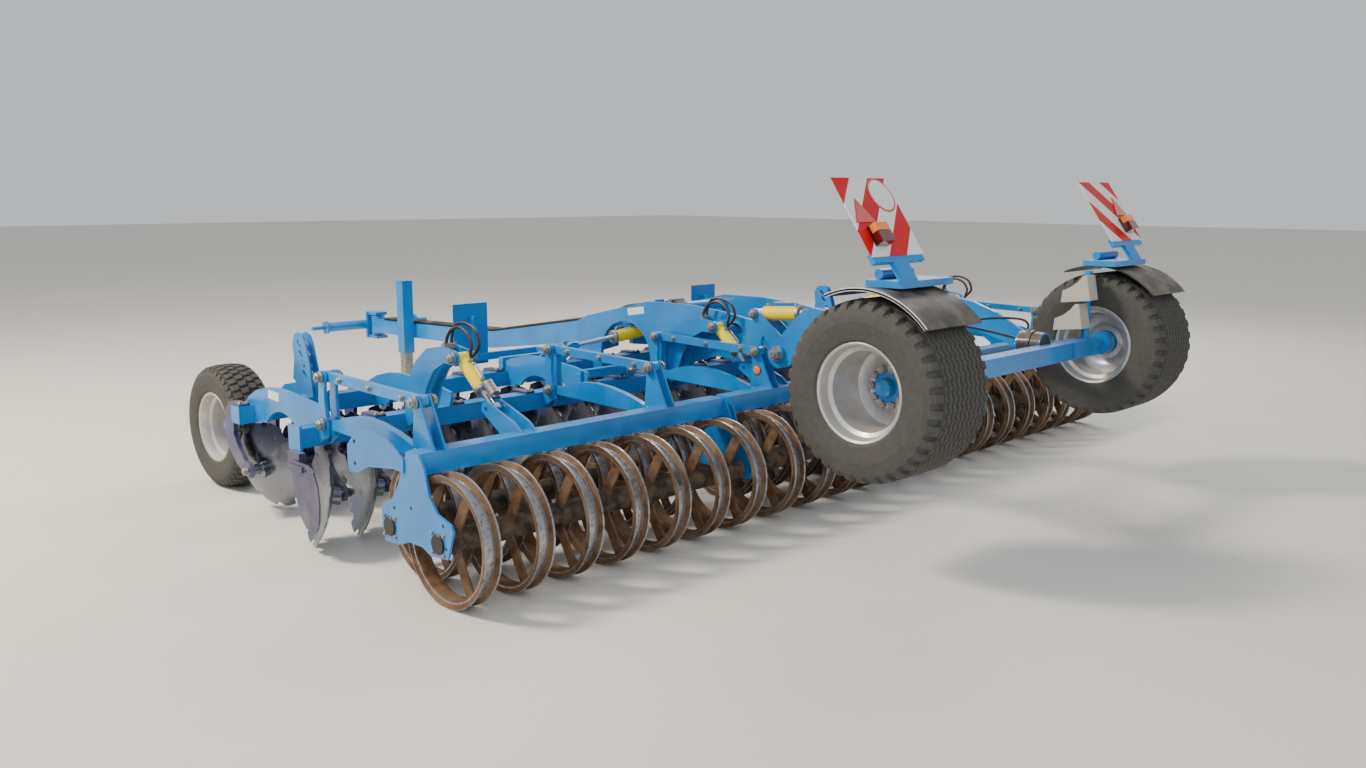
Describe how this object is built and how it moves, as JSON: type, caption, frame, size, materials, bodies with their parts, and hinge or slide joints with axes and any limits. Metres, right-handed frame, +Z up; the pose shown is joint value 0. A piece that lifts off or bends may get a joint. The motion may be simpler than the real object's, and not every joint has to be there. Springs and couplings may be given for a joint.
{
  "type": "disc harrow",
  "caption": "Trailed compact disc harrow: three-part folding frame, two rows of notched discs on curved arms, tandem ring rollers, depth wheels and a swing-down transport axle.",
  "frame": {"origin": "on the floor under the middle of the harrow's outline", "axes": "+X to the right of travel, +Y along the travel, +Z up"},
  "size_m": [6.1148, 7.223, 1.8835],
  "materials": {
    "frame_blue": "gloss sky-blue machine enamel, dusty in the corners",
    "arm_navy": "dark blue enamel, scuffed",
    "disc_steel": "soil-polished spring steel",
    "roller_rust": "rust-brown rolled steel with a bright running band",
    "cylinder_yellow": "yellow enamel",
    "rod_chrome": "hard chrome",
    "zinc": "hot-dip galvanised",
    "tyre": "dusty black rubber round a silver rim",
    "guard_plastic": "dark grey moulded plastic",
    "board_white": "white board with red slanted bands",
    "lamp_red": "red and amber lamp lenses",
    "hose_black": "black hydraulic hose"
  },
  "bodies": {
    "frame": {"centre_frame": "frame_blue", "drawbar": "frame_blue", "front_boards": "frame_blue", "hoses": "hose_black", "arms_centre": "arm_navy", "discs_centre": "disc_steel"},
    "hitch": {"hitch_yoke": "frame_blue"},
    "leg": {"parking_leg": "zinc"},
    "wing_left": {"wing_left": "frame_blue", "arms_left": "arm_navy", "discs_left": "disc_steel"},
    "wing_right": {"wing_right": "frame_blue", "arms_right": "arm_navy", "discs_right": "disc_steel"},
    "axle": {"axle": "frame_blue", "mudguards": "guard_plastic", "rear_boards": "board_white", "lamps": "lamp_red", "wheel_chocks": "zinc"},
    "lift_barrels": {"axle_barrels": "cylinder_yellow"},
    "lift_rods": {"axle_rods": "rod_chrome"},
    "wheel_left": {"wheel_left": "tyre"},
    "wheel_right": {"wheel_right": "tyre"},
    "depth_wheel_left": {"depth_wheel_left": "tyre"},
    "depth_wheel_right": {"depth_wheel_right": "tyre"},
    "fold_barrel_left": {"fold_barrel_left": "cylinder_yellow"},
    "fold_barrel_right": {"fold_barrel_right": "cylinder_yellow"},
    "fold_rod_left": {"fold_rod_left": "rod_chrome"},
    "fold_rod_right": {"fold_rod_right": "rod_chrome"},
    "upper_links_left": {"links_upper_left": "frame_blue"},
    "lower_links_left": {"links_lower_left": "frame_blue"},
    "roller_left": {"roller_frame_left": "frame_blue"},
    "rotor_front_left": {"roller_front_left": "roller_rust"},
    "rotor_rear_left": {"roller_rear_left": "roller_rust"},
    "depth_barrel_left": {"depth_barrel_left": "cylinder_yellow"},
    "depth_rod_left": {"depth_rod_left": "rod_chrome"},
    "upper_links_centre": {"links_upper_centre": "frame_blue"},
    "lower_links_centre": {"links_lower_centre": "frame_blue"},
    "roller_centre": {"roller_frame_centre": "frame_blue"},
    "rotor_front_centre": {"roller_front_centre": "roller_rust"},
    "rotor_rear_centre": {"roller_rear_centre": "roller_rust"},
    "depth_barrel_centre": {"depth_barrel_centre": "cylinder_yellow"},
    "depth_rod_centre": {"depth_rod_centre": "rod_chrome"},
    "upper_links_right": {"links_upper_right": "frame_blue"},
    "lower_links_right": {"links_lower_right": "frame_blue"},
    "roller_right": {"roller_frame_right": "frame_blue"},
    "rotor_front_right": {"roller_front_right": "roller_rust"},
    "rotor_rear_right": {"roller_rear_right": "roller_rust"},
    "depth_barrel_right": {"depth_barrel_right": "cylinder_yellow"},
    "depth_rod_right": {"depth_rod_right": "rod_chrome"}
  },
  "joints": [
    {"name": "hitch_swivel", "type": "hinge", "parent": "frame", "child": "hitch", "pos_m": [0, 3.42, 0.56], "axis": [0, 0, 1], "range_deg": [-35, 35]},
    {"name": "leg_slide", "type": "slide", "parent": "frame", "child": "leg", "axis": [0, 0, 1], "range_m": [0, 0.3]},
    {"name": "fold_left", "type": "hinge", "parent": "frame", "child": "wing_left", "pos_m": [-0.75, -0.47, 0.695], "axis": [0, 1, 0], "range_deg": [0, 90]},
    {"name": "fold_right", "type": "hinge", "parent": "frame", "child": "wing_right", "pos_m": [0.75, -0.47, 0.695], "axis": [0, -1, 0], "range_deg": [0, 90]},
    {"name": "fold_barrel_left", "type": "hinge", "parent": "frame", "child": "fold_barrel_left", "pos_m": [-0.1, -0.47, 0.87], "axis": [0, 1, 0], "range_deg": [-3, 1]},
    {"name": "fold_rod_left", "type": "slide", "parent": "fold_barrel_left", "child": "fold_rod_left", "axis": [-0.997, 0, -0.0777], "range_m": [-0.25, 0.01]},
    {"name": "fold_barrel_right", "type": "hinge", "parent": "frame", "child": "fold_barrel_right", "pos_m": [0.1, -0.47, 0.87], "axis": [0, -1, 0], "range_deg": [-3, 1]},
    {"name": "fold_rod_right", "type": "slide", "parent": "fold_barrel_right", "child": "fold_rod_right", "axis": [0.997, 0, -0.0777], "range_m": [-0.25, 0.01]},
    {"name": "depth_left", "type": "hinge", "parent": "wing_left", "child": "lower_links_left", "pos_m": [-2.1635, -0.985, 0.657], "axis": [1, 0, 0], "range_deg": [-7, 6]},
    {"name": "depth_centre", "type": "hinge", "parent": "frame", "child": "lower_links_centre", "pos_m": [0, -0.985, 0.657], "axis": [1, 0, 0], "range_deg": [-7, 6]},
    {"name": "depth_right", "type": "hinge", "parent": "wing_right", "child": "lower_links_right", "pos_m": [2.1635, -0.985, 0.657], "axis": [1, 0, 0], "range_deg": [-7, 6]},
    {"name": "upper_link_left", "type": "hinge", "parent": "wing_left", "child": "upper_links_left", "pos_m": [-2.1635, -0.985, 0.898], "axis": [1, 0, 0], "range_deg": [-7, 6]},
    {"name": "roller_level_left", "type": "hinge", "parent": "lower_links_left", "child": "roller_left", "pos_m": [-2.1635, -1.83483, 0.64], "axis": [1, 0, 0], "range_deg": [-6, 7]},
    {"name": "spin_front_left", "type": "hinge", "parent": "roller_left", "child": "rotor_front_left", "pos_m": [-2.1635, -1.72, 0.3], "axis": [1, 0, 0], "continuous": true},
    {"name": "spin_rear_left", "type": "hinge", "parent": "roller_left", "child": "rotor_rear_left", "pos_m": [-2.1635, -2.11, 0.3], "axis": [1, 0, 0], "continuous": true},
    {"name": "depth_barrel_left", "type": "hinge", "parent": "wing_left", "child": "depth_barrel_left", "pos_m": [-2.37, -1.395, 0.984], "axis": [1, 0, 0], "range_deg": [-14, 12]},
    {"name": "depth_rod_left", "type": "slide", "parent": "depth_barrel_left", "child": "depth_rod_left", "axis": [0, -0.7597, -0.6503], "range_m": [-0.066, 0.057]},
    {"name": "upper_link_centre", "type": "hinge", "parent": "frame", "child": "upper_links_centre", "pos_m": [0, -0.985, 0.898], "axis": [1, 0, 0], "range_deg": [-7, 6]},
    {"name": "roller_level_centre", "type": "hinge", "parent": "lower_links_centre", "child": "roller_centre", "pos_m": [0, -1.83483, 0.64], "axis": [1, 0, 0], "range_deg": [-6, 7]},
    {"name": "spin_front_centre", "type": "hinge", "parent": "roller_centre", "child": "rotor_front_centre", "pos_m": [0, -1.72, 0.3], "axis": [1, 0, 0], "continuous": true},
    {"name": "spin_rear_centre", "type": "hinge", "parent": "roller_centre", "child": "rotor_rear_centre", "pos_m": [0, -2.11, 0.3], "axis": [1, 0, 0], "continuous": true},
    {"name": "depth_barrel_centre", "type": "hinge", "parent": "frame", "child": "depth_barrel_centre", "pos_m": [-0.45, -1.395, 0.984], "axis": [1, 0, 0], "range_deg": [-14, 12]},
    {"name": "depth_rod_centre", "type": "slide", "parent": "depth_barrel_centre", "child": "depth_rod_centre", "axis": [0, -0.7597, -0.6503], "range_m": [-0.066, 0.057]},
    {"name": "upper_link_right", "type": "hinge", "parent": "wing_right", "child": "upper_links_right", "pos_m": [2.1635, -0.985, 0.898], "axis": [1, 0, 0], "range_deg": [-7, 6]},
    {"name": "roller_level_right", "type": "hinge", "parent": "lower_links_right", "child": "roller_right", "pos_m": [2.1635, -1.83483, 0.64], "axis": [1, 0, 0], "range_deg": [-6, 7]},
    {"name": "spin_front_right", "type": "hinge", "parent": "roller_right", "child": "rotor_front_right", "pos_m": [2.1635, -1.72, 0.3], "axis": [1, 0, 0], "continuous": true},
    {"name": "spin_rear_right", "type": "hinge", "parent": "roller_right", "child": "rotor_rear_right", "pos_m": [2.1635, -2.11, 0.3], "axis": [1, 0, 0], "continuous": true},
    {"name": "depth_barrel_right", "type": "hinge", "parent": "wing_right", "child": "depth_barrel_right", "pos_m": [2.37, -1.395, 0.984], "axis": [1, 0, 0], "range_deg": [-14, 12]},
    {"name": "depth_rod_right", "type": "slide", "parent": "depth_barrel_right", "child": "depth_rod_right", "axis": [0, -0.7597, -0.6503], "range_m": [-0.066, 0.057]},
    {"name": "axle_lift", "type": "hinge", "parent": "frame", "child": "axle", "pos_m": [0, -2.06, 0.9], "axis": [1, 0, 0], "range_deg": [0, 42]},
    {"name": "lift_barrels", "type": "hinge", "parent": "frame", "child": "lift_barrels", "pos_m": [0, -1.824, 1.108], "axis": [1, 0, 0], "range_deg": [0, 21]},
    {"name": "lift_rods", "type": "slide", "parent": "lift_barrels", "child": "lift_rods", "axis": [0, -0.998, 0.0637], "range_m": [0, 0.132]},
    {"name": "wheel_left", "type": "hinge", "parent": "axle", "child": "wheel_left", "pos_m": [-1.21, -3.18, 0.905], "axis": [1, 0, 0], "continuous": true},
    {"name": "depth_wheel_left", "type": "hinge", "parent": "wing_left", "child": "depth_wheel_left", "pos_m": [-2.68, 0.66, 0.38], "axis": [1, 0, 0], "continuous": true},
    {"name": "wheel_right", "type": "hinge", "parent": "axle", "child": "wheel_right", "pos_m": [1.21, -3.18, 0.905], "axis": [1, 0, 0], "continuous": true},
    {"name": "depth_wheel_right", "type": "hinge", "parent": "wing_right", "child": "depth_wheel_right", "pos_m": [2.68, 0.66, 0.38], "axis": [1, 0, 0], "continuous": true}
  ],
  "couplings": [
    {"joint": "fold_right", "follows": "fold_left", "ratio": 1},
    {"joint": "fold_barrel_left", "follows": "fold_left", "ratio": -0.0157},
    {"joint": "fold_rod_left", "follows": "fold_left", "m_per_rad": -0.1493},
    {"joint": "fold_barrel_right", "follows": "fold_left", "ratio": -0.0157},
    {"joint": "fold_rod_right", "follows": "fold_left", "m_per_rad": -0.1493},
    {"joint": "depth_centre", "follows": "depth_left", "ratio": 1},
    {"joint": "depth_right", "follows": "depth_left", "ratio": 1},
    {"joint": "upper_link_left", "follows": "depth_left", "ratio": 1},
    {"joint": "roller_level_left", "follows": "depth_left", "ratio": -1},
    {"joint": "depth_barrel_left", "follows": "depth_left", "ratio": 1.95},
    {"joint": "depth_rod_left", "follows": "depth_left", "m_per_rad": 0.527},
    {"joint": "upper_link_centre", "follows": "depth_left", "ratio": 1},
    {"joint": "roller_level_centre", "follows": "depth_left", "ratio": -1},
    {"joint": "depth_barrel_centre", "follows": "depth_left", "ratio": 1.95},
    {"joint": "depth_rod_centre", "follows": "depth_left", "m_per_rad": 0.527},
    {"joint": "upper_link_right", "follows": "depth_left", "ratio": 1},
    {"joint": "roller_level_right", "follows": "depth_left", "ratio": -1},
    {"joint": "depth_barrel_right", "follows": "depth_left", "ratio": 1.95},
    {"joint": "depth_rod_right", "follows": "depth_left", "m_per_rad": 0.527},
    {"joint": "lift_barrels", "follows": "axle_lift", "ratio": 0.496},
    {"joint": "lift_rods", "follows": "axle_lift", "m_per_rad": 0.1778}
  ]
}
